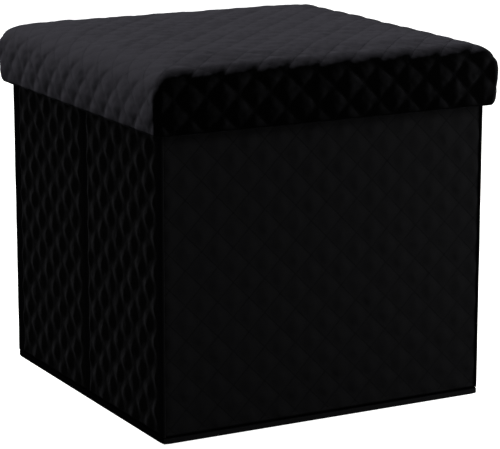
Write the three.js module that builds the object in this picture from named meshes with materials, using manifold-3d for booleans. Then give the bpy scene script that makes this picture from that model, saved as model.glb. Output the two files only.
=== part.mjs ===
// A folding storage ottoman: a cube of quilted velvet walls on a base panel, with a padded box lid.
//
// The front and back walls are whole. Each side wall is two half walls that meet at an upright
// centre fold. With the lid off, the side walls fold inwards and the front wall moves back until the
// four walls lie flat against each other over the base panel.
//
// Millimetres. +X is the width, +Y runs from the front wall to the back wall and +Z is up. The origin
// is the middle of the underside.

import * as THREE from 'three';
import { mergeVertices } from 'three/addons/utils/BufferGeometryUtils.js';
import Module from 'manifold-3d';

const wasm = await Module();
wasm.setup();

// Overall sizes
const BODY_WIDTH = 366;       // over the velvet of the two side walls
const BODY_DEPTH = 362;       // over the velvet of the front and back walls
const BODY_HEIGHT = 338;      // floor to the top edge of the walls
const GAP = 0.3;              // between neighbouring pieces

// Walls, from the outside in
const PAD = 4.4;              // quilted velvet with its wadding
const WALL_BOARD = 3;
const LINING = 1;
const HEM = 1.5;              // velvet turned over a wall's top and bottom edges
const CORNER_PLAY = 0.6;      // a side wall's end to the front or back wall's inner face

// Fabric strips at the folds
const FOLD_CHANNEL = 5;       // centre fold line to the edge of the quilting
const FOLD_PLAY = 1.5;        // centre fold line to a half wall's board
const FOLD_STRIP = 1;         // thickness of the strip
const CORNER_STRIP = 2.2;     // thickness of the strip
const CORNER_FLAP = 12.5;     // corner to the strip's edge on the side wall
const CORNER_RETURN = 2.9;    // corner to the strip's edge on the front or back wall
const CORNER_INSET = 0.5;     // outer face of the strip behind the quilting

// Base panel
const BASE_INSET = 2;
const BASE_BOARD = 3.5;
const BASE_CORNER = 4;

// Lid
const LID_CLEARANCE = 2.2;    // each side, between the walls and the rim
const RIM_BOARD = 2.8;
const RIM_OVERLAP = 32;       // how far the lid reaches down over the walls
const LID_BOARD = 5;
const LID_FOAM = 18;          // at the edge, below the crown
const LID_CROWN = 3;          // rise of the cushion at its middle
const LID_SKIN = 4.4;         // quilted velvet over the lid
const LID_CORNER = 10;        // upright corners of the velvet, in plan
const LID_SHOULDER = 16;      // rounding from the top down to the sides

const ARC_STEPS = 6;          // facets in a quarter circle

const WALL = PAD + GAP + WALL_BOARD + GAP + LINING;
const HALF_WIDTH = BODY_WIDTH / 2;
const HALF_DEPTH = BODY_DEPTH / 2;
const BASE_TOP = LINING + GAP + BASE_BOARD + GAP + LINING;
const WALL_FOOT = BASE_TOP + GAP;
const LID_BOARD_FOOT = BODY_HEIGHT + GAP + LINING + GAP;
const FOAM_FOOT = LID_BOARD_FOOT + LID_BOARD + GAP;
const SKIRT_FOOT = BODY_HEIGHT - RIM_OVERLAP;
const RIM_INNER = LID_CLEARANCE;
const RIM_OUTER = RIM_INNER + RIM_BOARD;
const LID_BOARD_CORNER = LID_CORNER - LID_SKIN - GAP;

const LOOKS = {
  velvet: { color: 0x17171a, roughness: 0.95 },
  strip: { color: 0x101013, roughness: 0.95 },
  lining: { color: 0x26262a, roughness: 0.9 },
  board: { color: 0x8a6a48, roughness: 0.8 },
  foam: { color: 0xd9d2be, roughness: 0.9 },
};

const ottoman = new THREE.Group();

function piece(parent, name, geometry, look) {
  const material = new THREE.MeshStandardMaterial({ ...LOOKS[look], metalness: 0 });
  const mesh = new THREE.Mesh(geometry, material);
  mesh.name = name;
  parent.add(mesh);
  return mesh;
}

// A box between two corners.
function block([x0, y0, z0], [x1, y1, z1]) {
  const box = new THREE.BoxGeometry(x1 - x0, y1 - y0, z1 - z0);
  return box.translate((x0 + x1) / 2, (y0 + y1) / 2, (z0 + z1) / 2);
}

// A rectangle about the origin with rounded corners, as a list of points.
function roundedRectangle(halfX, halfY, radius) {
  const points = [];
  for (let corner = 0; corner < 4; corner += 1) {
    const signX = corner === 0 || corner === 3 ? 1 : -1;
    const signY = corner < 2 ? 1 : -1;
    for (let step = 0; step <= ARC_STEPS; step += 1) {
      const angle = (corner + step / ARC_STEPS) * Math.PI / 2;
      const x = signX * (halfX - radius) + radius * Math.cos(angle);
      const y = signY * (halfY - radius) + radius * Math.sin(angle);
      points.push(new THREE.Vector2(x, y));
    }
  }
  return points;
}

// An outline in plan, raised from one height to another.
function raised(outline, foot, top) {
  const shape = new THREE.Shape(outline);
  const solid = new THREE.ExtrudeGeometry(shape, { depth: top - foot, bevelEnabled: false });
  return solid.translate(0, 0, foot);
}

// A closed skin through rings of points, each ring with the same number of points.
function lofted(rings) {
  const count = rings[0].length;
  const positions = rings.flat().flatMap((point) => [point.x, point.y, point.z]);
  const index = [];
  for (let ring = 0; ring + 1 < rings.length; ring += 1) {
    for (let i = 0; i < count; i += 1) {
      const next = (i + 1) % count;
      const low = ring * count;
      const high = low + count;
      index.push(low + i, low + next, high + next);
      index.push(low + i, high + next, high + i);
    }
  }
  const last = (rings.length - 1) * count;
  for (let i = 1; i + 1 < count; i += 1) {
    index.push(0, i + 1, i);
    index.push(last, last + i, last + i + 1);
  }
  const geometry = new THREE.BufferGeometry();
  geometry.setAttribute('position', new THREE.Float32BufferAttribute(positions, 3));
  geometry.setIndex(index);
  geometry.computeVertexNormals();
  return geometry;
}

// A cushion: upright sides, a rounded shoulder and a low crown.
function cushion(halfX, halfY, corner, foot, edgeTop, shoulder, crown) {
  const CROWN_RINGS = 5;
  const level = (inset, z) => {
    const radius = Math.max(corner - inset, corner / 3);
    const outline = roundedRectangle(halfX - inset, halfY - inset, radius);
    return outline.map((point) => new THREE.Vector3(point.x, point.y, z));
  };
  const rings = [level(0, foot)];
  for (let step = 0; step <= ARC_STEPS; step += 1) {
    const angle = step / ARC_STEPS * Math.PI / 2;
    const inset = shoulder * (1 - Math.cos(angle));
    rings.push(level(inset, edgeTop - shoulder + shoulder * Math.sin(angle)));
  }
  const reach = Math.min(halfX, halfY) - shoulder - corner;
  for (let step = 1; step <= CROWN_RINGS; step += 1) {
    const share = step / CROWN_RINGS;
    rings.push(level(shoulder + reach * share, edgeTop + crown * (1 - (1 - share) ** 2)));
  }
  return lofted(rings);
}

function toManifold(geometry) {
  const bare = geometry.clone();
  bare.deleteAttribute('normal');
  bare.deleteAttribute('uv');
  const merged = mergeVertices(bare);
  const vertProperties = new Float32Array(merged.attributes.position.array);
  const triVerts = new Uint32Array(merged.index.array);
  return new wasm.Manifold(new wasm.Mesh({ numProp: 3, vertProperties, triVerts }));
}

function cutAway(geometry, tools) {
  const body = tools.reduce((rest, tool) => rest.subtract(toManifold(tool)), toManifold(geometry));
  const mesh = body.getMesh();
  const cut = new THREE.BufferGeometry();
  cut.setAttribute('position', new THREE.BufferAttribute(mesh.vertProperties, 3));
  cut.setIndex(new THREE.BufferAttribute(mesh.triVerts, 1));
  cut.computeVertexNormals();
  return cut;
}

// One wall or half wall. Here x runs along the wall, and y runs outwards to the velvet's face.
function addWall(parent, name, face, boardRun, coverRun) {
  const inner = face - WALL;
  const padBack = face - PAD;
  const boardFace = padBack - GAP;
  const profile = new THREE.Shape([
    new THREE.Vector2(face, WALL_FOOT),
    new THREE.Vector2(face, BODY_HEIGHT),
    new THREE.Vector2(inner, BODY_HEIGHT),
    new THREE.Vector2(inner, BODY_HEIGHT - HEM),
    new THREE.Vector2(padBack, BODY_HEIGHT - HEM),
    new THREE.Vector2(padBack, WALL_FOOT + HEM),
    new THREE.Vector2(inner, WALL_FOOT + HEM),
    new THREE.Vector2(inner, WALL_FOOT),
  ]);
  const depth = coverRun[1] - coverRun[0];
  const cover = new THREE.ExtrudeGeometry(profile, { depth, bevelEnabled: false });
  const alongWall = new THREE.Matrix4().makeBasis(
    new THREE.Vector3(0, 1, 0),
    new THREE.Vector3(0, 0, 1),
    new THREE.Vector3(1, 0, 0),
  );
  cover.applyMatrix4(alongWall).translate(coverRun[0], 0, 0);
  piece(parent, `${name}_cover`, cover, 'velvet');

  const foot = WALL_FOOT + HEM + GAP;
  const top = BODY_HEIGHT - HEM - GAP;
  const board = block([boardRun[0], boardFace - WALL_BOARD, foot], [boardRun[1], boardFace, top]);
  piece(parent, `${name}_board`, board, 'board');
  const lining = block([boardRun[0], inner, foot], [boardRun[1], inner + LINING, top]);
  piece(parent, `${name}_lining`, lining, 'lining');
}

// A frame whose +Y points out of one side of the box.
function facing(quarterTurns) {
  const group = new THREE.Group();
  group.rotation.z = quarterTurns * Math.PI / 2;
  ottoman.add(group);
  return group;
}

function addWholeWalls() {
  const coverHalf = HALF_WIDTH - CORNER_RETURN - GAP;
  const boardHalf = HALF_WIDTH - CORNER_INSET - CORNER_STRIP - GAP;
  for (const [name, turns] of [['back', 0], ['front', 2]]) {
    addWall(facing(turns), name, HALF_DEPTH, [-boardHalf, boardHalf], [-coverHalf, coverHalf]);
  }
}

// The velvet strip that closes the centre fold, seen in the channel between the quilted halves.
function addFoldStrip(parent, name, rearward) {
  const face = HALF_WIDTH - PAD + FOLD_STRIP;
  const ends = [FOLD_CHANNEL - GAP, GAP - FOLD_PLAY];
  const runs = ends.map((end) => rearward * end).sort((a, b) => a - b);
  const strip = block([runs[0], face - FOLD_STRIP, WALL_FOOT], [runs[1], face, BODY_HEIGHT]);
  piece(parent, name, strip, 'strip');
}

function addSideWalls() {
  const boardEnd = HALF_DEPTH - WALL - CORNER_PLAY;
  const coverEnd = HALF_DEPTH - CORNER_FLAP - GAP;
  // On the left the wall's own x runs towards the back, and on the right towards the front.
  for (const [side, turns, rearward] of [['left', 1, 1], ['right', 3, -1]]) {
    const wall = facing(turns);
    for (const [half, sign] of [['rear', rearward], ['front', -rearward]]) {
      const span = (from, to) => [sign * from, sign * to].sort((a, b) => a - b);
      const boardRun = span(FOLD_PLAY, boardEnd);
      const coverRun = span(FOLD_CHANNEL, coverEnd);
      addWall(wall, `${side}_${half}`, HALF_WIDTH, boardRun, coverRun);
    }
    addFoldStrip(wall, `${side}_fold_strip`, rearward);
  }
}

// The velvet strips that hinge the side walls, each wrapped around one upright corner.
function addCornerStrips() {
  const outer = CORNER_INSET;
  const inner = CORNER_INSET + CORNER_STRIP;
  const arc = [];
  for (let step = 0; step <= ARC_STEPS; step += 1) {
    const angle = step / ARC_STEPS * Math.PI / 2;
    arc.push([inner - CORNER_STRIP * Math.cos(angle), inner - CORNER_STRIP * Math.sin(angle)]);
  }
  // Distances in from the side face and from the front or back face.
  const outline = [
    [inner, CORNER_FLAP],
    [outer, CORNER_FLAP],
    ...arc,
    [CORNER_RETURN, outer],
    [CORNER_RETURN, inner],
    [inner, inner],
  ];
  for (const [end, signY] of [['rear', 1], ['front', -1]]) {
    for (const [side, signX] of [['left', -1], ['right', 1]]) {
      const points = outline.map(([fromSide, fromEnd]) => {
        const x = signX * (HALF_WIDTH - fromSide);
        const y = signY * (HALF_DEPTH - fromEnd);
        return new THREE.Vector2(x, y);
      });
      piece(ottoman, `${end}_${side}_corner_strip`, raised(points, WALL_FOOT, BODY_HEIGHT), 'strip');
    }
  }
}

function addBase() {
  const layers = [
    ['base_undercloth', LINING, 'lining'],
    ['base_board', BASE_BOARD, 'board'],
    ['base_lining', LINING, 'lining'],
  ];
  const halfX = HALF_WIDTH - BASE_INSET;
  const halfY = HALF_DEPTH - BASE_INSET;
  let foot = 0;
  for (const [name, thickness, look] of layers) {
    const outline = roundedRectangle(halfX, halfY, BASE_CORNER);
    piece(ottoman, name, raised(outline, foot, foot + thickness), look);
    foot += thickness + GAP;
  }
}

function addLidFrame() {
  const halfX = HALF_WIDTH + RIM_OUTER;
  const halfY = HALF_DEPTH + RIM_OUTER;
  const boardOutline = roundedRectangle(halfX, halfY, LID_BOARD_CORNER);
  const board = raised(boardOutline, LID_BOARD_FOOT, LID_BOARD_FOOT + LID_BOARD);
  piece(ottoman, 'lid_board', board, 'board');

  const liningX = HALF_WIDTH + RIM_INNER - GAP;
  const liningY = HALF_DEPTH + RIM_INNER - GAP;
  const liningFoot = BODY_HEIGHT + GAP;
  const liningTop = liningFoot + LINING;
  const lining = block([-liningX, -liningY, liningFoot], [liningX, liningY, liningTop]);
  piece(ottoman, 'lid_lining', lining, 'lining');

  const rimFoot = SKIRT_FOOT + HEM + GAP;
  const rimTop = LID_BOARD_FOOT - GAP;
  const innerX = HALF_WIDTH + RIM_INNER;
  const innerY = HALF_DEPTH + RIM_INNER;
  // Each rim board ends where the corner's rounding starts.
  const endX = halfX - LID_BOARD_CORNER;
  const endY = halfY - LID_BOARD_CORNER;
  for (const [side, sign] of [['back', 1], ['front', -1]]) {
    const [near, far] = [sign * innerY, sign * halfY].sort((a, b) => a - b);
    piece(ottoman, `lid_rim_${side}`, block([-endX, near, rimFoot], [endX, far, rimTop]), 'board');
  }
  for (const [side, sign] of [['left', -1], ['right', 1]]) {
    const [near, far] = [sign * innerX, sign * halfX].sort((a, b) => a - b);
    piece(ottoman, `lid_rim_${side}`, block([near, -endY, rimFoot], [far, endY, rimTop]), 'board');
  }
}

function addLidCushion() {
  const halfX = HALF_WIDTH + RIM_OUTER;
  const halfY = HALF_DEPTH + RIM_OUTER;
  const foamTop = FOAM_FOOT + LID_FOAM;
  const foamShoulder = LID_SHOULDER - LID_SKIN;
  const foam = cushion(
    halfX, halfY, LID_BOARD_CORNER, FOAM_FOOT, foamTop, foamShoulder, LID_CROWN,
  );
  piece(ottoman, 'lid_foam', foam, 'foam');

  const skin = GAP + LID_SKIN;
  const skinTop = foamTop + skin;
  const outside = cushion(
    halfX + skin, halfY + skin, LID_CORNER, SKIRT_FOOT, skinTop, LID_SHOULDER, LID_CROWN,
  );
  const cavityFoot = SKIRT_FOOT + HEM;
  const cavity = cushion(
    halfX + GAP,
    halfY + GAP,
    LID_BOARD_CORNER + GAP,
    cavityFoot,
    foamTop + GAP,
    foamShoulder,
    LID_CROWN,
  );
  const mouthX = HALF_WIDTH + RIM_INNER;
  const mouthY = HALF_DEPTH + RIM_INNER;
  const belowFoot = SKIRT_FOOT - HEM;
  const mouth = block([-mouthX, -mouthY, belowFoot], [mouthX, mouthY, cavityFoot + HEM]);
  piece(ottoman, 'lid_cover', cutAway(outside, [cavity, mouth]), 'velvet');
}

addBase();
addWholeWalls();
addSideWalls();
addCornerStrips();
addLidFrame();
addLidCushion();

export default ottoman;
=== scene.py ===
"""Looks for the folding storage ottoman: quilted velvet over boards, with a padded lift-off lid.

Everything is in metres in the part's own frame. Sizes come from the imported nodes' boxes.
"""

import math

import bmesh
import bpy
import numpy as np
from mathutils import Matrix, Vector
from mathutils.bvhtree import BVHTree


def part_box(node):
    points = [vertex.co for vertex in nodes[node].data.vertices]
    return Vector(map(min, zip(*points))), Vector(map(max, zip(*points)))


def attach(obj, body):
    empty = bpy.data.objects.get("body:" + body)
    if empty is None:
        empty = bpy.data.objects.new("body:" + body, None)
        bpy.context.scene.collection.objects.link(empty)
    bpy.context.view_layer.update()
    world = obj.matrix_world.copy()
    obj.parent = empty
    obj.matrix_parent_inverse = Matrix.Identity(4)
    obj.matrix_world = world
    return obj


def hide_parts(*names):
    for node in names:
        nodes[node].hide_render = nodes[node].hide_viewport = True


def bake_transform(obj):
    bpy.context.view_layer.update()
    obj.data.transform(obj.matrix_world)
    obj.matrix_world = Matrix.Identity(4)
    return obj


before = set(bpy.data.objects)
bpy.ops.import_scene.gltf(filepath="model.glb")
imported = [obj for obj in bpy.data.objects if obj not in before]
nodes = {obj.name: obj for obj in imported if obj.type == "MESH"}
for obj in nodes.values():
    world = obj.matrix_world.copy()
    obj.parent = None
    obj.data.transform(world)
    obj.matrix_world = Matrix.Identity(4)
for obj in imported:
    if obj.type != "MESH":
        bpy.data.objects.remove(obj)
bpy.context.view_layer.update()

MM = 0.001
GAP = 0.3 * MM                      # between neighbouring CAD pieces
QUILT_SIDE = 24.6 * MM              # side of one quilted square, set on its corner
QUILT_STEP = QUILT_SIDE * math.sqrt(2) / 16   # mesh step that keeps the seams on vertices

COARSE_CREASE = 13 * MM             # length of the cloth's larger creases
FINE_CREASE = 6.5 * MM
WALL_WAVE = 75 * MM                 # length of the slow unevenness of a wall's padding
LID_WAVE = 90 * MM
MOVE_ROUNDS = 60                    # smoothing of the lid's swelling

FRONT, BACK, LEFT, RIGHT = 2, 0, 1, 3   # quarter turns from the back wall's frame to each wall's


# ---------------------------------------------------------------- places

def turned(points, turns):
    """Points turned about Z by quarter turns."""
    points = np.asarray(points, float)
    for _ in range(turns % 4):
        points = np.stack([-points[..., 1], points[..., 0], points[..., 2]], -1)
    return points


def local_box(node, turns):
    """A node's box in a wall's own frame: x along the wall, y outwards, z up."""
    corners = turned(np.array(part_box(node), float), -turns)
    return corners.min(0), corners.max(0)


def marks(low, high, step, phase=0.0, extra=()):
    """Places from low to high on a regular grid, with extra ones near the two ends."""
    first = math.ceil((low - phase) / step - 1e-6)
    inner = np.arange(first, (high - phase) / step) * step + phase
    ends = [low + e for e in extra] + [high - e for e in extra]
    clear = max(extra, default=0) + 0.3 * step
    inner = inner[(inner > low + clear) & (inner < high - clear)]
    return np.sort(np.concatenate([[low, high], ends, inner]))


# ---------------------------------------------------------------- surfaces

def soft_rise(t):
    """From a seam at 0 to the middle of a puff at 1, with a rounded valley."""
    return np.sin(0.5 * math.pi * t) ** 2


def tight_rise(t):
    """From a seam at 0 to the middle of a puff at 1, with a narrow valley."""
    return 1 - (1 - t) ** 2.3


def pillow(u, v, rise):
    """Height of the quilting, 0 on a seam and about 1 in the middle of a square on its corner."""
    heights, cells = [], []
    for along in ((u + v) / math.sqrt(2), (u - v) / math.sqrt(2)):
        share = along / QUILT_SIDE
        to_seam = np.abs(share - np.round(share)) * 2
        heights.append(rise(to_seam))
        cells.append(np.floor(share))
    uneven = np.sin(12.9898 * cells[0] + 78.233 * cells[1]) * 43758.5453
    return heights[0] * heights[1] * (0.82 + 0.3 * (uneven - np.floor(uneven)))


def ripple(u, v, length, seed):
    """A smooth uneven field between about -1 and 1, whose bumps are about length apart."""
    total = 0
    for k in range(5):
        angle = seed + k * 2.399
        wave = length * (0.7 + 0.17 * k)
        phase = 1.7 * seed + 2.1 * k
        total = total + np.sin(2 * math.pi * (u * math.cos(angle) + v * math.sin(angle)) / wave + phase)
    return total / 3.2


def creases(u, v, seed, depth):
    """Small dents and puckers in the padding, a few millimetres to a centimetre across."""
    coarse = ripple(u, v, COARSE_CREASE, 2 + seed)
    fine = ripple(u, v, FINE_CREASE, 5 + 2 * seed)
    return depth * (coarse * 0.7 + fine * 0.45 - 0.3 * np.abs(coarse * fine))


def round_over(distance, reach):
    """0 at an edge, rising as a quarter circle to 1 at reach."""
    share = np.clip(distance / reach, 0, 1)
    return np.sqrt(1 - (1 - share) ** 2)


def smooth(x):
    """0 below 0, 1 above 1, and a soft S between."""
    x = np.clip(x, 0, 1)
    return x * x * (3 - 2 * x)


# ---------------------------------------------------------------- meshes

def grid_faces(rows, columns, heights=None, first=0, close_columns=False):
    """Triangles over a grid of vertices. Each cell is split along the diagonal that fits it best."""
    index = np.arange(rows * columns).reshape(rows, columns) + first
    if close_columns:
        index = np.concatenate([index, index[:, :1]], 1)
        if heights is not None:
            heights = np.concatenate([heights, heights[:, :1]], 1)
    a, b = index[:-1, :-1].ravel(), index[:-1, 1:].ravel()
    d, c = index[1:, :-1].ravel(), index[1:, 1:].ravel()
    if heights is None:
        return [tuple(q) for q in np.stack([a, b, c, d], 1).tolist()]
    h = heights
    rise = np.abs(h[:-1, :-1] + h[1:, 1:] - h[:-1, 1:] - h[1:, :-1]).ravel()
    low_ac = (h[:-1, :-1] + h[1:, 1:] < h[:-1, 1:] + h[1:, :-1]).ravel()
    use_ac = np.where(rise < 1e-9, True, low_ac)
    first_tri = np.where(use_ac[:, None], np.stack([a, b, c], 1), np.stack([a, b, d], 1))
    second_tri = np.where(use_ac[:, None], np.stack([a, c, d], 1), np.stack([b, c, d], 1))
    return [tuple(t) for t in np.concatenate([first_tri, second_tri]).tolist()]


def make_mesh(name, points, faces, materials, sheet=None, face_material=None):
    """A smooth mesh object. sheet holds each vertex's place on the flat cloth."""
    mesh = bpy.data.meshes.new(name)
    mesh.from_pydata(np.asarray(points, float).reshape(-1, 3).tolist(), [], faces)
    mesh.validate()
    for material in materials:
        mesh.materials.append(material)
    if face_material is not None:
        mesh.polygons.foreach_set("material_index", np.asarray(face_material, np.int32))
    if sheet is not None:
        attribute = mesh.attributes.new("sheet", "FLOAT_VECTOR", "POINT")
        attribute.data.foreach_set("vector", np.asarray(sheet, np.float32).ravel())
    mesh.polygons.foreach_set("use_smooth", [True] * len(mesh.polygons))
    piece = bpy.data.objects.new(name, mesh)
    bpy.context.scene.collection.objects.link(piece)
    return piece


def face_outwards(piece):
    """Turns a closed mesh's faces outwards."""
    mesh = bmesh.new()
    mesh.from_mesh(piece.data)
    bmesh.ops.recalc_face_normals(mesh, faces=mesh.faces)
    mesh.to_mesh(piece.data)
    mesh.free()
    return piece


def closed_shell(name, outer, inner, heights, materials, sheet=None):
    """A closed skin between an outer grid and an inner grid of the same number of rows."""
    rows, columns = outer.shape[:2]
    inner_columns = inner.shape[1]
    start = rows * columns
    faces = grid_faces(rows, columns, heights)
    inner_index = np.arange(rows * inner_columns).reshape(rows, inner_columns) + start
    faces += [tuple(reversed(f)) for f in grid_faces(rows, inner_columns, None, start)]
    outer_index = np.arange(start).reshape(rows, columns)
    for side in (0, -1):
        for row in range(rows - 1):
            quad = [outer_index[row, side], outer_index[row + 1, side],
                    inner_index[row + 1, side], inner_index[row, side]]
            faces.append(tuple(int(i) for i in quad))
    for row in (0, -1):
        loop = list(outer_index[row]) + list(inner_index[row][::-1])
        faces.append(tuple(int(i) for i in loop))
    points = np.concatenate([outer.reshape(-1, 3), inner.reshape(-1, 3)])
    if sheet is not None:
        across = np.linspace(0, columns - 1, inner_columns).astype(int)
        sheet = np.concatenate([sheet.reshape(-1, 3), sheet[:, across].reshape(-1, 3)])
    return face_outwards(make_mesh(name, points, faces, materials, sheet))


# ---------------------------------------------------------------- materials

class Nodes:
    """A short way to write a material's node tree."""

    def __init__(self, name):
        """An empty material with a shader."""
        self.material = bpy.data.materials.new(name)
        self.material.use_nodes = True
        self.tree = self.material.node_tree
        self.shader = self.tree.nodes["Principled BSDF"]

    def add(self, kind, inputs=(), **settings):
        """A new node, with its settings and the values or links of its inputs."""
        node = self.tree.nodes.new(kind)
        for key, value in settings.items():
            setattr(node, key, value)
        for key, value in dict(inputs).items():
            self.put(node.inputs[key], value)
        return node

    def put(self, socket, value):
        """Links an output to a socket, or sets the socket's own value."""
        if isinstance(value, bpy.types.NodeSocket):
            self.tree.links.new(value, socket)
        else:
            socket.default_value = value

    def math(self, operation, first, second=0.0):
        """One math node's output."""
        node = self.add("ShaderNodeMath", {0: first, 1: second}, operation=operation)
        return node.outputs[0]

    def noise(self, vector, scale, detail=2.0, roughness=0.5):
        """Noise over a vector, as a value."""
        inputs = {"Vector": vector, "Scale": scale, "Detail": detail, "Roughness": roughness}
        return self.add("ShaderNodeTexNoise", inputs).outputs["Fac"]

    def ramp(self, value, low, high, out_low=0.0, out_high=1.0):
        """A clamped straight ramp."""
        inputs = {"Value": value, "From Min": low, "From Max": high,
                  "To Min": out_low, "To Max": out_high}
        return self.add("ShaderNodeMapRange", inputs).outputs["Result"]

    def mix(self, share, first, second):
        """Two colours mixed by a factor."""
        node = self.add("ShaderNodeMix", data_type="RGBA")
        self.put(node.inputs["Factor"], share)
        self.put(node.inputs[6], first)
        self.put(node.inputs[7], second)
        return node.outputs[2]

    def bump(self, height, distance, strength=1.0, normal=None):
        """A bumped normal, on top of an earlier one where it is given."""
        inputs = {"Height": height, "Distance": distance, "Strength": strength}
        node = self.add("ShaderNodeBump", inputs)
        if normal is not None:
            self.put(node.inputs["Normal"], normal)
        return node.outputs["Normal"]


def velvet(name, dark, painted_lights, sheen, thread):
    """Cut-pile velvet, with painted light. Faces turned towards each given direction are painted
    lighter, as painted highlights and shade.

    Each painted light is (direction, where the painted lightening starts and is full, colour,
    patchiness).
    thread is how much the quilting thread covers the pile, 0 where there is none.
    """
    n = Nodes(name)
    shader = n.shader
    coordinates = n.add("ShaderNodeTexCoord").outputs
    place = coordinates["Object"]
    crush = n.noise(place, 85, 3, 0.6)
    pile = n.noise(place, 1400, 2, 0.7)
    speckle = n.ramp(pile, 0.3, 0.7, 0.8, 1.2)
    colour = (*dark, 1)
    # Painted light: each entry paints faces turned towards its direction a lighter colour, as a painted
    # highlight and shade, not the cloth's own colour.
    for direction, reach, light, patchy in painted_lights:
        patches = n.ramp(crush, 0.32, 0.68, 1 - patchy, 1 + patchy)
        uneven = n.math("MULTIPLY", patches, speckle)
        light_facing = {0: coordinates["Normal"], 1: direction}
        light_facing = n.add("ShaderNodeVectorMath", light_facing, operation="DOT_PRODUCT").outputs["Value"]
        share = n.math("MULTIPLY", n.ramp(light_facing, *reach), uneven)
        colour = n.mix(share, colour, (*light, 1))
    shader.inputs["Roughness"].default_value = 0.85
    shader.inputs["Specular IOR Level"].default_value = 0.0
    shader.inputs["Sheen Weight"].default_value = sheen
    shader.inputs["Sheen Roughness"].default_value = 0.3
    shader.inputs["Sheen Tint"].default_value = (0.86, 0.88, 1.0, 1)
    normal = n.bump(n.noise(place, 160, 3, 0.6), 0.5 * MM, 0.5)
    normal = n.bump(pile, 0.12 * MM, 0.6, normal)
    if thread:
        normal, colour = stitches(n, normal, colour, thread)
    n.put(shader.inputs["Base Color"], colour)
    n.put(shader.inputs["Normal"], normal)
    return n.material


def stitches(n, normal, colour, thread):
    """Lockstitches along the quilting seams, from each point's place on the flat cloth."""
    sheet = n.add("ShaderNodeAttribute", attribute_name="sheet").outputs["Vector"]
    axes = n.add("ShaderNodeSeparateXYZ", {0: sheet}).outputs
    per_square = 1 / (math.sqrt(2) * QUILT_SIDE)
    plus = n.math("MULTIPLY", n.math("ADD", axes["X"], axes["Y"]), per_square)
    minus = n.math("MULTIPLY", n.math("SUBTRACT", axes["X"], axes["Y"]), per_square)
    covered = None
    for across, along in ((plus, minus), (minus, plus)):
        to_seam = n.math("PINGPONG", across, 0.5)
        line = n.ramp(to_seam, 0.022, 0.01)
        wave = n.math("PINGPONG", n.math("MULTIPLY", along, 14.0), 0.5)
        dash = n.ramp(wave, 0.1, 0.2)
        stitch = n.math("MULTIPLY", line, dash)
        covered = stitch if covered is None else n.math("MAXIMUM", covered, stitch)
    covered = n.math("MULTIPLY", covered, axes["Z"])
    normal = n.bump(covered, 0.5 * MM, 0.8, normal)
    covered = n.math("MULTIPLY", covered, thread)
    return normal, n.mix(covered, colour, (0.0008, 0.0008, 0.0009, 1))


def lining_cloth(name, colour):
    """Non-woven cloth: pressed fibres with a small embossed dot pattern."""
    n = Nodes(name)
    place = n.add("ShaderNodeTexCoord").outputs["Object"]
    dots = n.add("ShaderNodeTexVoronoi", {"Vector": place, "Scale": 420, "Randomness": 0.15})
    fibres = n.noise(place, 900, 5, 0.75)
    cloud = n.noise(place, 30, 3, 0.6)
    share = n.math("MULTIPLY", n.ramp(fibres, 0.3, 0.7), n.ramp(cloud, 0.2, 0.8, 0.6, 1.0))
    dark = tuple(0.6 * c for c in colour)
    n.put(n.shader.inputs["Base Color"], n.mix(share, (*dark, 1), (*colour, 1)))
    n.shader.inputs["Roughness"].default_value = 0.8
    n.shader.inputs["Specular IOR Level"].default_value = 0.03
    dimple = n.ramp(dots.outputs["Distance"], 0.15, 0.4)
    normal = n.bump(dimple, 0.25 * MM, 0.7)
    n.put(n.shader.inputs["Normal"], n.bump(fibres, 0.15 * MM, 0.7, normal))
    return n.material


def fibreboard(name):
    """Pressed board: brown, with fine flecks and a faint cloudiness."""
    n = Nodes(name)
    place = n.add("ShaderNodeTexCoord").outputs["Object"]
    flecks = n.noise(place, 700, 4, 0.8)
    cloud = n.noise(place, 14, 3, 0.5)
    share = n.math("ADD", n.math("MULTIPLY", flecks, 0.6), n.math("MULTIPLY", cloud, 0.4))
    dark, light = (0.13, 0.075, 0.04, 1), (0.36, 0.24, 0.14, 1)
    n.put(n.shader.inputs["Base Color"], n.mix(n.ramp(share, 0.35, 0.65), dark, light))
    n.put(n.shader.inputs["Roughness"], n.ramp(flecks, 0.3, 0.7, 0.55, 0.75))
    n.put(n.shader.inputs["Normal"], n.bump(flecks, 0.1 * MM, 0.5))
    return n.material


def foam_sponge(name):
    """Open-cell foam: cream, with fine pores whose hollows are dented and painted darker, as painted
    shade.
    """
    n = Nodes(name)
    place = n.add("ShaderNodeTexCoord").outputs["Object"]
    cells = n.add("ShaderNodeTexVoronoi", {"Vector": place, "Scale": 600}).outputs["Distance"]
    pore_dents_and_shade = n.ramp(cells, 0.1, 0.5)
    # Painted shade: the pore hollows get the darker cream.
    n.put(n.shader.inputs["Base Color"], n.mix(pore_dents_and_shade, (0.62, 0.55, 0.4, 1), (0.8, 0.75, 0.62, 1)))
    n.shader.inputs["Roughness"].default_value = 0.9
    n.put(n.shader.inputs["Normal"], n.bump(pore_dents_and_shade, 0.5 * MM, 0.8))
    return n.material


# Painted light on the walls' velvet. The first entry paints front-, right- and up-facing faces lighter
# than left-, back- and down-facing ones, as painted light and shade. The second paints highlights on
# the faces and puff flanks turned back and to the left.
WALL_PAINTED_LIGHTS = (
    ((0.55, -0.83, 0.5), (-0.35, 0.62), (0.0031, 0.0031, 0.0033), 0.12),
    ((-0.62, 0.78, 0.05), (0.54, 1.0), (0.0108, 0.0108, 0.0117), 0.32),
)
WALL_VELVET = velvet("velvet_walls", (0.0010, 0.0010, 0.0010), WALL_PAINTED_LIGHTS, 0.002, 0.4)
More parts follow.
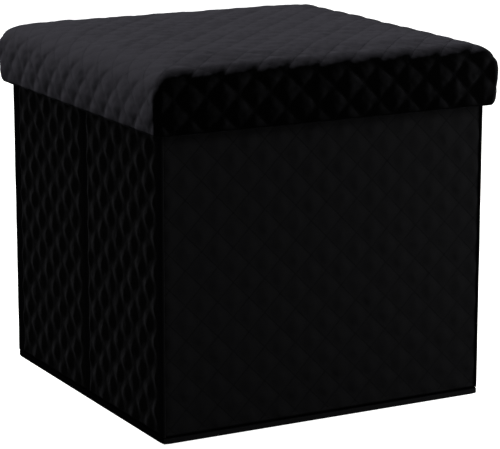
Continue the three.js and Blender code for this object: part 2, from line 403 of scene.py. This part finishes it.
# Painted light on the lid's velvet. The first entry paints highlights on faces turned to the right,
# such as the skirt's right-facing puff flanks. The second paints the top, the left and the back much
# lighter, as a painted sheen of light from above and behind.
LID_PAINTED_LIGHTS = (
    ((0.9, -0.42, 0.1), (0.38, 1.0), (0.0052, 0.0052, 0.0057), 0.4),
    ((-0.54, 0.58, 0.6), (0.08, 0.66), (0.0232, 0.0226, 0.0266), 0.15),
)
LID_VELVET = velvet("velvet_lid", (0.0004, 0.0004, 0.0004), LID_PAINTED_LIGHTS, 0.007, 0.3)
# Painted light on the strips' velvet. Faces turned to the front, to the right and downwards are painted
# lighter, as painted light and shade.
STRIP_PAINTED_LIGHTS = (((0.55, -0.83, -0.5), (-0.3, 0.9), (0.0034, 0.0034, 0.0036), 0.12),)
STRIP_VELVET = velvet("velvet_strips", (0.0007, 0.0007, 0.0008), STRIP_PAINTED_LIGHTS, 0.0004, 0.0)
LINING = lining_cloth("nonwoven_lining", (0.03, 0.03, 0.032))
UNDERCLOTH = lining_cloth("nonwoven_undercloth", (0.0012, 0.0012, 0.0013))
BOARD = fibreboard("fibreboard")
FOAM = foam_sponge("foam")


# ---------------------------------------------------------------- walls

QUILT_START = {           # where the seams cross, in each wall's frame
    "back": (0.0, 8 * MM),
    "left": (11 * MM, 11.6 * MM),
    "front": (0.0, 14.3 * MM),
    "right": (6 * MM, 11.6 * MM),
}
PAD_MIN = 1.2 * MM        # velvet and wadding pressed flat at a seam
VALLEY = 2.2 * MM         # depth of the quilting seams
EDGE_RADIUS = 4 * MM      # rounding over a wall's top and bottom edges
SEAM_ROLL = 7 * MM        # how far from a seam the padding reaches its full height
FOLD_ROLL = 8 * MM        # the same beside the centre fold
HEM_MIN = 0.8 * MM        # thinnest the turned hem is pressed
STRIP_CORNER = 2.4 * MM   # rounding of a corner strip round its corner
STRIP_TUCK = 0.7 * MM     # how far its edges sink into the seams beside it
CORNER_STRIP_THICK = 1.3 * MM
FOLD_STRIP_THICK = 0.7 * MM
FOLD_BOW = 2.8 * MM        # the fold strip bows out towards the fold's axis, so it folds clear


def wall_profile(y_inner, y_back, y_face, foot, top, hem, phase):
    """The cover's section, from the inner bottom edge round the outside to the inner top edge.

    Gives, for each row: outer point, outward normal, inner point, height up the cloth, quilting
    share, and how far the row may sink at a seam. Points are (y, z) pairs.
    """
    centre = y_face - EDGE_RADIUS
    flat = np.linspace(y_inner, centre, 4)[:-1]
    arc = np.linspace(0, math.pi / 2, 6)[:-1]
    face = marks(foot + EDGE_RADIUS, top - EDGE_RADIUS, QUILT_STEP, phase)
    rows = []
    for y in flat:
        rows.append((y, foot, 0, -1, y, foot + hem, foot - (centre - y), 0.0, hem - HEM_MIN))
    full = y_face - y_back - PAD_MIN
    for angle in arc:
        share = angle / (math.pi / 2)
        ny, nz = math.sin(angle), -math.cos(angle)
        y, z = centre + EDGE_RADIUS * ny, foot + EDGE_RADIUS + EDGE_RADIUS * nz
        sink = (hem - HEM_MIN) + (full - hem + HEM_MIN) * share
        rows.append((y, z, ny, nz, min(y, y_back), max(z, foot + hem), z, share, sink))
    for z in face:
        rows.append((y_face, z, 1, 0, y_back, np.clip(z, foot + hem, top - hem), z, 1.0, full))
    lower = rows[: len(flat) + len(arc)]
    for y, z, ny, nz, yi, zi, v, quilting, sink in reversed(lower):
        mirrored = foot + top
        rows.append((y, mirrored - z, ny, -nz, yi, mirrored - zi, mirrored - v, quilting, sink))
    return np.array(rows, float)


def wall_cover(name, turns, body, seam_reach):
    """The quilted cover of one wall or half wall, as a closed shell turned over top and bottom."""
    low, high = local_box(f"{name}_cover", turns)
    board_face = local_box(f"{name}_board", turns)[1][1]
    hem = high[2] - local_box(f"{name}_board", turns)[1][2] - GAP
    start = QUILT_START[name.split("_")[0]]
    seed = turns + 0.37 * len(name)
    rows = wall_profile(low[1], board_face + GAP, high[1], low[2], high[2], hem, start[1])
    x = marks(low[0], high[0], QUILT_STEP, start[0], (0.4 * MM, 1.2 * MM))
    y, z, ny, nz, yi, zi, v, quilting, sink = (rows[:, k, None] for k in range(9))
    across = x[None, :] + 0 * y
    up = v + 0 * across
    to_left = round_over(across - low[0], seam_reach[0])
    to_right = round_over(high[0] - across, seam_reach[1])
    roll = np.minimum(to_left, to_right)
    soft = pillow(across - start[0], up - start[1], soft_rise)
    uneven = 0.4 * MM * ripple(across, up, WALL_WAVE, seed) + creases(across, up, seed, 0.5 * MM)
    valley = (VALLEY * (1 - soft) - uneven * (0.3 + 0.7 * soft)) * quilting * roll
    valley = np.maximum(valley, 0)
    drop = np.minimum(valley + sink * (1 - roll), sink)
    outer = np.stack([across, y - ny * drop, z - nz * drop], -1)
    ends = np.array([x[0], x[-1]])
    inner = np.stack(np.broadcast_arrays(ends[None, :], yi, zi), -1)
    sheet = np.stack([across - start[0], up - start[1], quilting * np.ones_like(across)], -1)
    cover = closed_shell(
        f"{name}_quilted", turned(outer, turns), turned(inner, turns), soft, [WALL_VELVET], sheet,
    )
    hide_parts(f"{name}_cover")
    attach(cover, body)


def strip_shell(name, path, foot, top, thickness, turns=0):
    """A flat velvet strip: a section in plan, from a list of (x, y, nx, ny), standing upright."""
    section = np.array(path, float)
    z = marks(foot, top, 5 * MM, 0.0, (0.5 * MM, 1.5 * MM))
    edge = round_over(np.minimum(z - foot, top - z), 2.5 * MM)
    x, y, nx, ny = (section[None, :, k] for k in range(4))
    zz = z[:, None] + 0 * x
    waver = 0.15 * MM * ripple(zz, x + y, 40 * MM, 2.0)
    drop = (1 - edge[:, None]) * 0.5 * thickness - waver
    drop = np.maximum(drop, -0.1 * MM)
    outer = np.stack([x - nx * drop, y - ny * drop, zz], -1)
    inner = np.stack([x - nx * thickness + 0 * zz, y - ny * thickness + 0 * zz, zz], -1)
    return closed_shell(name, turned(outer, turns), turned(inner, turns), None, [STRIP_VELVET])


def add_corner_strip(end, side, hinged_body, end_body):
    """A corner's velvet strip, attached to its end's body unless a joint crosses it."""
    name = f"{end}_{side}_corner_strip"
    low, high = (np.array(corner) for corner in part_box(name))
    sign = np.array([-1 if side == "left" else 1, 1 if end == "rear" else -1])
    outer = np.where(sign > 0, high[:2], low[:2])       # the strip's outer faces
    flap = high[1] - low[1]
    back = high[0] - low[0]
    section = []
    for share in np.linspace(0, 1, 7)[:-1]:
        along = flap + 0.2 * MM - share * (flap - STRIP_CORNER)
        dip = STRIP_TUCK * (1 - math.sin(math.pi * min(0.5, share * 0.9 + 0.08)))
        section.append((dip, along, 1, 0))
    for angle in np.linspace(0, math.pi / 2, 6):
        from_side = STRIP_CORNER * (1 - math.cos(angle))
        from_end = STRIP_CORNER * (1 - math.sin(angle))
        section.append((from_side, from_end, math.cos(angle), math.sin(angle)))
    section.append((back + 0.1 * MM, STRIP_TUCK * 0.6, 0, 1))
    path = []
    for from_side, from_end, n_side, n_end in section:
        path.append((outer[0] - sign[0] * from_side, outer[1] - sign[1] * from_end,
                     sign[0] * n_side, sign[1] * n_end))
    strip = strip_shell(f"{name}_velvet", path, low[2], high[2], CORNER_STRIP_THICK)
    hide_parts(name)
    if hinged_body:
        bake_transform(strip)
    else:
        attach(strip, end_body)


def add_fold_strip(side, turns):
    """The centre fold's velvet strip, across the fold between the two halves, not attached to a body.
    """
    name = f"{side}_fold_strip"
    rear_low, rear_high = local_box(f"{side}_rear_cover", turns)
    half = min(abs(rear_low[0]), abs(rear_high[0]))
    face = local_box(name, turns)[1][1]
    path = []
    for share in np.linspace(-1, 1, 11):
        path.append((share * (half + 0.2 * MM), face + FOLD_BOW * (1 - share * share), 0, 1))
    strip = strip_shell(f"{name}_velvet", path, rear_low[2], rear_high[2], FOLD_STRIP_THICK, turns)
    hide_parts(name)
    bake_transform(strip)


def add_walls():
    """All six walls and half walls, with the strips at their corners and centre folds."""
    wall_cover("back", BACK, "carcass", (SEAM_ROLL, SEAM_ROLL))
    wall_cover("front", FRONT, "front_wall", (SEAM_ROLL, SEAM_ROLL))
    for side, turns in (("left", LEFT), ("right", RIGHT)):
        for half in ("rear", "front"):
            low, high = local_box(f"{side}_{half}_cover", turns)
            fold_first = abs(low[0]) < abs(high[0])
            reach = (FOLD_ROLL, SEAM_ROLL) if fold_first else (SEAM_ROLL, FOLD_ROLL)
            wall_cover(f"{side}_{half}", turns, f"{side}_{half}_half", reach)
        add_fold_strip(side, turns)
    add_corner_strip("rear", "left", "left_rear_half", "carcass")
    add_corner_strip("rear", "right", "right_rear_half", "carcass")
    add_corner_strip("front", "left", "left_front_half", "front_wall")
    add_corner_strip("front", "right", None, "front_wall")


# ---------------------------------------------------------------- lid

def rounded_side(half_along, half_out, radius, count):
    """One side of a rounded rectangle, from the middle of one corner's arc to the next.

    Gives count + 1 rows of (along, out, n_along, n_out, length), spaced evenly by length.
    """
    arc = radius * math.pi / 4
    straight = 2 * (half_along - radius)
    total = straight + 2 * arc
    rows = []
    for s in np.linspace(-total / 2, total / 2, count + 1):
        beyond = abs(s) - straight / 2
        sign = 1 if s > 0 else -1
        if beyond <= 0 or radius < 1e-6:
            rows.append((s, half_out, 0, 1, s))
            continue
        angle = beyond / radius
        along = sign * (straight / 2 + radius * math.sin(angle))
        out = half_out - radius + radius * math.cos(angle)
        rows.append((along, out, sign * math.sin(angle), math.cos(angle), s))
    return np.array(rows)


def ring(half, radius, z, count):
    """A rounded rectangle as (points, outward directions, lengths along), side after side."""
    points, outwards, along = [], [], []
    for turns, n_side in ((3, count[1]), (0, count[0]), (1, count[1]), (2, count[0])):
        along_axis = turns % 2
        side = rounded_side(half[along_axis], half[1 - along_axis], radius, n_side)[:-1]
        a, o, na, no, length = side.T
        points.append(turned(np.stack([-a, o, np.full_like(a, z)], -1), turns))
        outwards.append(turned(np.stack([-na, no, 0 * a], -1), turns))
        along.append(length)
    return np.concatenate(points), np.concatenate(outwards), np.concatenate(along)


def ring_solid(name, rings, materials):
    """A closed solid through a stack of rings, with its two ends filled."""
    size = len(rings[0])
    faces = grid_faces(len(rings), size, None, 0, close_columns=True)
    faces.append(tuple(range(size)))
    faces.append(tuple(reversed(range((len(rings) - 1) * size, len(rings) * size))))
    return face_outwards(make_mesh(name, np.concatenate(rings), faces, materials))


SHOULDER_OUT = 24 * MM     # how far in from the side the top starts to turn down
SHOULDER_DOWN = 20 * MM
LID_CORNER = 9 * MM
SKIN = 4.2 * MM            # from the CAD cover's face to the cloth's back
LID_VALLEY = 1.8 * MM
HEM_IN = 0.3 * MM          # the hem stands this much inside the CAD skirt
SKIRT_BULGE = 4.0 * MM     # and the middle of the skirt this much outside the hem
LID_RISE = 1.2 * MM        # the flat top stands this much over the CAD cover's shoulder
CROWN = 3.5 * MM
SKIRT_ROWS_UP = 1.6 * MM   # height of a row of puffs over the hem
CORNER_SEAM = 0.7 * MM     # depth of the upright seam at each corner of the skirt

SWELL_VOXEL = 6 * MM       # the simulated form is remeshed at this size
SWELL_PRESSURE = 4
SWELL_FRAMES = 20
SWELL_CAP = 5 * MM         # furthest a simulated point may move
SWELL_IN = 0.4 * MM        # furthest the finished cloth may follow it inwards
SWELL_OUT = 4 * MM         # and outwards


class LidForm:
    """The lid's outer form before quilting: a flat top, a rounded shoulder and a full skirt.

    inset gives the same form a little smaller, for the layers under the velvet.
    """

    def __init__(self, inset=0.0, foot=None):
        """Sizes the form: its half widths, flats and heights."""
        low, high = (np.array(c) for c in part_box("lid_cover"))
        self.half = (high[:2] - low[:2]) / 2 - HEM_IN - inset
        self.top = high[2] - 3 * MM + LID_RISE - inset
        self.foot = low[2] if foot is None else foot
        self.out = SHOULDER_OUT - inset
        self.down = SHOULDER_DOWN - inset
        angles = np.linspace(0, math.pi / 2, 60)
        x, z = self.out * np.sin(angles), self.down * (np.cos(angles) - 1)
        self.length = np.concatenate([[0], np.cumsum(np.hypot(np.diff(x), np.diff(z)))])
        self.angles = angles
        self.flat = self.half - self.out
        self.reach = self.length[-1] + self.top - self.down - self.foot

    def bulge(self, z):
        """How far the skirt stands outside the line over its hem, at a height z."""
        share = np.clip((z - self.foot) / (self.top - self.foot), 0, 1)
        return SKIRT_BULGE * np.sin(math.pi * share ** 0.8)

    def level(self, t):
        """(inset from the side, height, outward and upward parts of the normal) t down the cloth."""
        arc = self.length[-1]
        angle = np.interp(min(t, arc), self.length, self.angles)
        z = self.top + self.down * (math.cos(angle) - 1) - max(0, t - arc)
        normal = np.array([math.sin(angle) / self.out, math.cos(angle) / self.down])
        normal /= np.linalg.norm(normal)
        share = math.sin(angle)
        return self.out * (1 - share) - self.bulge(z) * share, z, normal[0], normal[1]

    def rings(self, step, count):
        """(points, normals, places on the flat cloth) of rings from the flat top to the hem."""
        result = []
        number = max(2, int(round(self.reach / step)))
        for t in np.linspace(0, self.reach, number + 1):
            inset, z, slope_out, slope_up = self.level(t)
            radius = max(LID_CORNER * (1 - max(inset, 0) / self.out), 1e-7)
            points, outwards, along = ring(self.half - inset, radius, z, count)
            normals = outwards * slope_out
            normals[:, 2] = slope_up
            sheets = []
            sides = np.split(along, np.cumsum([count[1], count[0], count[1]]))
            for turns, s in zip((3, 0, 1, 2), sides):
                out = np.full_like(s, self.flat[1 - turns % 2] + t)
                sheets.append(turned(np.stack([-s, out, 0 * s], -1), turns))
            result.append((points, normals, np.concatenate(sheets)))
        return result


def smooth_points(points, faces, rounds):
    """Moves each point towards the mean of its neighbours."""
    pairs = []
    for f in faces:
        pairs += [(f[k], f[(k + 1) % len(f)]) for k in range(len(f))]
    pairs = np.array(pairs)
    both = np.concatenate([pairs, pairs[:, ::-1]])
    number = np.bincount(both[:, 0], minlength=len(points))[:, None]
    for _ in range(rounds):
        total = np.zeros_like(points)
        np.add.at(total, both[:, 0], points[both[:, 1]])
        points = 0.5 * points + 0.5 * total / np.maximum(number, 1)
    return points


def swell(form, cap):
    """Cloth simulation of the lid's skin over its foam. Gives the swollen surface as a tree."""
    rings = [r[0] for r in form.rings(SWELL_VOXEL, (60, 60))]
    source = ring_solid("lid_swell", rings, [])
    bpy.context.view_layer.objects.active = source
    remesh = source.modifiers.new("remesh", "REMESH")
    remesh.mode = "VOXEL"
    remesh.voxel_size = SWELL_VOXEL
    bpy.ops.object.modifier_apply(modifier=remesh.name)
    start = np.array([v.co for v in source.data.vertices])
    pins = source.vertex_groups.new(name="hem")
    held = np.nonzero(start[:, 2] < form.foot + 7 * MM)[0]
    pins.add([int(i) for i in held], 1.0, "REPLACE")
    cloth = source.modifiers.new("cloth", "CLOTH")
    settings = cloth.settings
    settings.vertex_group_mass = "hem"
    settings.use_pressure = True
    settings.uniform_pressure_force = SWELL_PRESSURE
    settings.effector_weights.gravity = 0
    settings.quality = 6
    settings.bending_stiffness = 2
    scene = bpy.context.scene
    for number in range(1, SWELL_FRAMES + 1):
        scene.frame_set(number)
    swollen = source.evaluated_get(bpy.context.evaluated_depsgraph_get())
    moved = np.array([v.co for v in swollen.data.vertices])
    faces = [tuple(p.vertices) for p in source.data.polygons]
    shift = moved - start
    size = np.linalg.norm(shift, axis=1, keepdims=True)
    kept = cap * np.tanh(size / cap)
    final = smooth_points(start + shift / np.maximum(size, 1e-9) * kept, faces, 12)
    bpy.data.objects.remove(source)
    scene.frame_set(1)
    return BVHTree.FromPolygons(final.tolist(), faces)


def onto(tree, points, normals, most_in, most_out):
    """How far each point moves along its normal to reach the surface in the tree, within limits.

    A ray is cast inwards from reach outside each point.
    """
    reach = 12 * MM
    moves = np.zeros(len(points))
    for k, (p, n) in enumerate(zip(points, normals)):
        direction = Vector(n)
        distance = tree.ray_cast(Vector(p) + direction * reach, -direction, 2 * reach)[3]
        if distance is not None:
            moves[k] = reach - distance
    limit = np.where(moves > 0, most_out, most_in)
    return limit * np.tanh(moves / limit)


def corner_seam(points, form):
    """1 on the upright seam at each corner of the skirt, 0 away from it and on the top."""
    to_x = form.half[0] - np.abs(points[:, 0])
    to_y = form.half[1] - np.abs(points[:, 1])
    off = np.abs(to_x - to_y) / math.sqrt(2)
    near = np.exp(-((off / (1.5 * MM)) ** 2)) * (np.maximum(to_x, to_y) < 14 * MM)
    rise = (points[:, 2] - form.foot) / (44 * MM)
    return near * smooth(2.2 * (1.15 - rise))


def quilted_lid(form):
    """(points, normals, cloth places, faces, last ring) of the lid's quilted outside."""
    count = tuple(int(round(2 * f / QUILT_STEP)) for f in form.flat)
    rings = form.rings(QUILT_STEP, count)
    gx, gy = np.meshgrid(*(np.linspace(-f, f, n + 1) for f, n in zip(form.flat, count)))
    rise = CROWN * (1 - (gx / form.half[0]) ** 2) * (1 - (gy / form.half[1]) ** 2)
    top = np.stack([gx, gy, form.top + rise], -1).reshape(-1, 3)
    for number, (points, _, _) in enumerate(rings):
        fade = smooth(1 - number * QUILT_STEP / (20 * MM))
        beside = np.minimum(1, np.abs(points[:, :2]) / form.half)
        points[:, 2] += CROWN * (1 - beside[:, 0] ** 2) * (1 - beside[:, 1] ** 2) * fade
    points = np.concatenate([top] + [r[0] for r in rings[1:]])
    normals = np.concatenate([np.tile([0.0, 0, 1], (len(top), 1))] + [r[1] for r in rings[1:]])
    flat_top = np.stack([gx, gy, 0 * gx], -1).reshape(-1, 3)
    sheet = np.concatenate([flat_top] + [r[2] for r in rings[1:]])

    side = 2 * (count[0] + count[1])
    grid = np.arange(gx.size).reshape(gx.shape)
    border = list(grid[:-1, -1]) + list(grid[-1, :0:-1]) + list(grid[:0:-1, 0]) + list(grid[0, :-1])
    soft = pillow(sheet[:, 0] + form.flat[0] + form.reach - SKIRT_ROWS_UP, sheet[:, 1], tight_rise)
    faces = grid_faces(*gx.shape, soft[:gx.size].reshape(gx.shape))
    index = np.concatenate([[border], np.arange(gx.size, len(points)).reshape(-1, side)])
    loose = grid_faces(len(index), side, soft[index], 0, close_columns=True)
    places = index.ravel()
    faces += [tuple(int(places[i]) for i in f) for f in loose]
    return points, normals, sheet, soft, faces, index[-1]


def turned_hem(form, outline, outward):
    """Rings that turn the hem under the rim boards and carry the cloth's back up inside."""
    rows = []
    for inward, rise in ((0.5, -0.6), (1.3, -0.9), (2.4, -0.7), (3.4, -0.1), (3.6, 0.6)):
        row = outline - outward * inward * MM
        row[:, 2] = form.foot + (1.0 + rise) * MM
        rows.append(row)
    back = LidForm(inset=SKIN - HEM_IN, foot=form.foot + 2 * MM)
    radius = LID_CORNER - 2 * MM
    count = tuple(int(round(2 * f / QUILT_STEP)) for f in form.flat)
    for level in (0.0, 0.3, 0.6, 1.0):
        z = back.foot + level * (form.top - form.down - back.foot)
        rows.append(ring(back.half, radius, z, count)[0])
    for angle in np.linspace(0.2, math.pi / 2, 6):
        share = math.cos(angle)
        z = form.top - form.down + (form.down - SKIN) * math.sin(angle)
        half = back.half - (form.out - SKIN) * (1 - share)
        rows.append(ring(half, radius * max(share, 0.05), z, count)[0])
    return rows


def add_lid_cover():
    """The lid's velvet: swollen over the foam, quilted, and turned under at the hem."""
    form = LidForm()
    points, normals, sheet, soft, faces, hem = quilted_lid(form)
    moves = onto(swell(form, SWELL_CAP), points, normals, SWELL_IN, SWELL_OUT)
    points = points + normals * smooth_points(moves[:, None], faces, MOVE_ROUNDS)
    u, v = sheet[:, 0], sheet[:, 1]
    near_hem = round_over(points[:, 2] - form.foot, 6 * MM)
    on_top = smooth((normals[:, 2] - 0.2) / 0.6)
    valley = LID_VALLEY * (1 - 0.62 * on_top)
    uneven = 0.6 * MM * ripple(u, v, LID_WAVE, 3) + creases(u, v, 5, 0.22 * MM)
    drop = (valley * (1 - soft) - uneven) * (0.3 + 0.7 * near_hem) + 0.5 * MM * (1 - near_hem)
    drop += corner_seam(points, form) * CORNER_SEAM
    points = points - normals * drop[:, None]

    outline, outward = points[hem], normals[hem] * [1, 1, 0]
    outward /= np.linalg.norm(outward, axis=1, keepdims=True)
    rows = turned_hem(form, outline, outward)
    start, side = len(points), len(hem)
    index = np.arange(start, start + side * len(rows)).reshape(-1, side)
    places = np.concatenate([hem, index.ravel()])
    loose = grid_faces(len(rows) + 1, side, None, 0, close_columns=True)
    faces += [tuple(int(places[i]) for i in f) for f in loose]
    faces.append(tuple(int(i) for i in index[-1]))
    sheet[:, 0] += form.flat[0] + form.reach - SKIRT_ROWS_UP
    sheet[:, 2] = 1
    sheet = np.concatenate([sheet, np.zeros((index.size, 3))])
    points = np.concatenate([points] + rows)
    cover = face_outwards(make_mesh("lid_quilted", points, faces, [LID_VELVET], sheet))
    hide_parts("lid_cover")
    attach(cover, "lid")


def add_lid_foam():
    """The foam block under the cover, with the same soft shoulder."""
    form = LidForm(inset=SKIN + 0.6 * MM - HEM_IN, foot=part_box("lid_foam")[0][2])
    foam = ring_solid("lid_foam_block", [r[0] for r in form.rings(3 * MM, (40, 40))], [FOAM])
    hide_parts("lid_foam")
    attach(foam, "lid")


def add_lid_tray():
    """The lid's lining: one cloth over the underside of its board and down inside its rims."""
    low, high = (np.array(c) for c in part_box("lid_lining"))
    rim_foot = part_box("lid_rim_left")[0][2]
    outer = high[:2] + 0.15 * MM
    count = (48, 48)
    rings = []
    sizes = ((-3, high[2]), (-0.4, high[2]), (0, high[2] - 0.6 * MM), (0, rim_foot + 12 * MM),
             (0, rim_foot + 2 * MM), (-0.1, rim_foot + 1.0 * MM), (-0.4, rim_foot + 0.7 * MM),
             (-0.55, rim_foot + 1.0 * MM), (-0.6, rim_foot + 2 * MM), (-0.6, rim_foot + 12 * MM),
             (-0.6, low[2] - 1.2 * MM), (-1.3, low[2] - 0.2 * MM), (-3, low[2] + 0.1 * MM))
    for inset, z in sizes:
        points, outwards, _ = ring(outer + inset * MM, 3.5 * MM, z, count)
        sway = 0.12 * MM * ripple(points[:, 0] + points[:, 1], points[:, 2], 50 * MM, 6)
        if inset > -0.5:
            points -= outwards * np.maximum(sway, 0)[:, None]
        rings.append(points)
    tray = ring_solid("lid_tray_lining", rings, [LINING])
    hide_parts("lid_lining")
    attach(tray, "lid")


def add_base_wrap():
    """Black cloth under the base panel, turned up over its edges."""
    high = np.array(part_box("base_undercloth")[1])
    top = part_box("base_board")[1][2]
    half = high[:2]
    count = (60, 60)
    rings = []
    sizes = ((-4, high[2]), (0.15, high[2]), (0.15, top), (-6.3, top + 0.05 * MM),
             (-6.4, top + 0.4 * MM), (-6, top + 0.7 * MM), (0.3, top + 0.8 * MM),
             (1.5, top + 0.9 * MM), (1.8, top + 0.6 * MM), (1.8, high[2] + 1 * MM),
             (1.8, 0.6 * MM), (1.4, 0.1 * MM), (0.2, 0), (-1.5, 0), (-20, 0))
    for outset, z in sizes:
        points, outwards, _ = ring(half + outset * MM, 4 * MM, z, count)
        sway = 0.15 * MM * ripple(points[:, 0], points[:, 1], 60 * MM, 2)
        if outset > 1.7:
            points -= outwards * np.maximum(sway, 0)[:, None]
        rings.append(points)
    wrap = ring_solid("base_wrap", rings, [STRIP_VELVET, UNDERCLOTH])
    for face in wrap.data.polygons:
        face.material_index = 1 if face.normal.z < -0.8 else 0
        face.use_smooth = False
    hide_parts("base_undercloth")
    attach(wrap, "carcass")


# ---------------------------------------------------------------- linings, boards and base

UNDER_WALLS = 7 * MM      # the base lining stops this far inside the panel's edge, under the walls


def add_lining(node, body, turns=None):
    """A cloth lining on its board: nearly flat, with soft waves and a stitched line at the hem."""
    if turns is None:
        low, high = (np.array(corner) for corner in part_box(node))
        rows_axis, face, back = 1, high[2], low[2]
        low[:2] += UNDER_WALLS
        high[:2] -= UNDER_WALLS
    else:
        low, high = local_box(node, turns)
        rows_axis, face, back = 2, low[1], high[1]
    inward = math.copysign(1, back - face)
    x = marks(low[0], high[0], 5 * MM, 0.0, (0.4 * MM, 1.2 * MM))
    w = marks(low[rows_axis], high[rows_axis], 5 * MM, 0.0, (0.4 * MM, 1.2 * MM))
    xx, ww = np.meshgrid(x, w)
    to_edge = np.minimum(np.minimum(xx - x[0], x[-1] - xx), np.minimum(ww - w[0], w[-1] - ww))
    seed = 3 + len(node) + (turns or 0)
    wave = 0.5 + 0.5 * ripple(xx, ww, 80 * MM, seed)
    sink = 0.35 * MM * wave + 0.4 * MM * (1 - round_over(to_edge, 1.2 * MM))
    sink += 0.2 * MM * np.exp(-(((to_edge - 8 * MM) / (2.5 * MM)) ** 2))
    outer = [xx, ww, face + inward * np.clip(sink, 0, 0.85 * MM)]
    ends, we = np.meshgrid([x[0], x[-1]], w)
    inner = [ends, we, back + 0 * ends]
    if turns is not None:
        outer = [outer[0], outer[2], outer[1]]
        inner = [inner[0], inner[2], inner[1]]
    outer, inner = np.stack(outer, -1), np.stack(inner, -1)
    turns = turns or 0
    cloth = closed_shell(f"{node}_cloth", turned(outer, turns), turned(inner, turns), None, [LINING])
    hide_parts(node)
    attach(cloth, body)


def add_linings():
    """The linings of the base and of every wall."""
    add_lining("base_lining", "carcass")
    add_lining("back_lining", "carcass", BACK)
    add_lining("front_lining", "front_wall", FRONT)
    for side, turns in (("left", LEFT), ("right", RIGHT)):
        for half in ("rear", "front"):
            add_lining(f"{side}_{half}_lining", f"{side}_{half}_half", turns)


def finish_cad_nodes():
    """The boards keep their CAD shape. The wall boards' edges are wrapped in black cloth."""
    for name, node in nodes.items():
        if not name.endswith("_board") and "_rim_" not in name:
            continue
        in_a_wall = name.endswith("_board") and not name.startswith(("lid_", "base_"))
        node.data.materials.clear()
        node.data.materials.append(UNDERCLOTH if in_a_wall else BOARD)


# ---------------------------------------------------------------- studio

def aim(thing, place, target):
    """Puts a camera or lamp at a place, facing a target."""
    thing.location = place
    direction = Vector(target) - Vector(place)
    thing.rotation_mode = "QUATERNION"
    thing.rotation_quaternion = direction.to_track_quat("-Z", "Y")


CAMERA_AZIMUTH = -28.37     # degrees round from the front, towards the left
CAMERA_ELEVATION = 12.89    # degrees above level
CAMERA_DISTANCE = 2.499
CAMERA_TARGET = (0.0103, 0.0, 0.1629)
CAMERA_LENS = 169.6         # on a sensor 36 mm wide


def add_camera():
    """The camera, left of the front and a little above the lid."""
    azimuth, elevation = math.radians(CAMERA_AZIMUTH), math.radians(CAMERA_ELEVATION)
    target = Vector(CAMERA_TARGET)
    back = Vector((
        math.sin(azimuth) * math.cos(elevation),
        -math.cos(azimuth) * math.cos(elevation),
        math.sin(elevation),
    ))
    data = bpy.data.cameras.new("camera")
    data.sensor_width = 36
    data.lens = CAMERA_LENS
    camera = bpy.data.objects.new("camera", data)
    bpy.context.scene.collection.objects.link(camera)
    aim(camera, target + back * CAMERA_DISTANCE, target)
    bpy.context.scene.camera = camera


WORLD_LIGHT = 0.3           # strength of the even light from all round
LIGHTS_AIM = (0, 0, 0.2)
SOFTBOXES = {               # place, width, height, power in watts
    "softbox_top": ((0.1, 0.8, 1.9), 1.8, 1.2, 40),
    "softbox_back_left": ((-1.2, 2.0, 0.8), 0.7, 1.3, 50),
    "softbox_right": ((0.56, -0.45, 0.40), 0.25, 0.5, 6.0),
    "softbox_front": ((-0.2, -2.0, 1.9), 1.6, 1.0, 24),
}
FLOOR_HALF = 12.0           # half the floor's side
FLOOR_DROP = 0.5 * MM       # the floor lies this far under the object


def add_softbox(name, place, width, height, power):
    """A rectangular area light that the camera doesn't see."""
    data = bpy.data.lights.new(name, "AREA")
    data.shape = "RECTANGLE"
    data.size = width
    data.size_y = height
    data.energy = power
    lamp = bpy.data.objects.new(name, data)
    lamp.visible_camera = False
    bpy.context.scene.collection.objects.link(lamp)
    aim(lamp, place, LIGHTS_AIM)


def add_world():
    """White to the camera, and a weaker even light on the object."""
    world = bpy.data.worlds.new("studio")
    world.use_nodes = True
    tree = world.node_tree
    background = tree.nodes["Background"]
    background.inputs["Color"].default_value = (1, 1, 1, 1)
    seen = tree.nodes.new("ShaderNodeLightPath")
    level = tree.nodes.new("ShaderNodeMapRange")
    level.inputs["To Min"].default_value = WORLD_LIGHT
    level.inputs["To Max"].default_value = 1.0
    tree.links.new(seen.outputs["Is Camera Ray"], level.inputs["Value"])
    tree.links.new(level.outputs["Result"], background.inputs["Strength"])
    bpy.context.scene.world = world
    bpy.context.scene.view_settings.view_transform = "Standard"


def add_studio():
    """The lights and a plain pale floor."""
    add_world()
    for name, settings in SOFTBOXES.items():
        add_softbox(name, *settings)
    n = Nodes("pale_floor")
    n.shader.inputs["Base Color"].default_value = (0.6, 0.6, 0.6, 1)
    n.shader.inputs["Roughness"].default_value = 0.9
    n.shader.inputs["Emission Color"].default_value = (1, 1, 1, 1)
    seen = n.add("ShaderNodeLightPath").outputs["Is Camera Ray"]
    n.put(n.shader.inputs["Emission Strength"], n.ramp(seen, 0.0, 1.0, 0.1, 0.9))
    far = FLOOR_HALF
    corners = [(-far, -far, 0), (far, -far, 0), (far, far, 0), (-far, far, 0)]
    floor = make_mesh("floor", corners, [(0, 1, 2, 3)], [n.material])
    floor.location.z = -FLOOR_DROP


add_camera()
add_studio()
add_linings()
finish_cad_nodes()
add_walls()
add_lid_cover()
add_lid_foam()
add_lid_tray()
add_base_wrap()
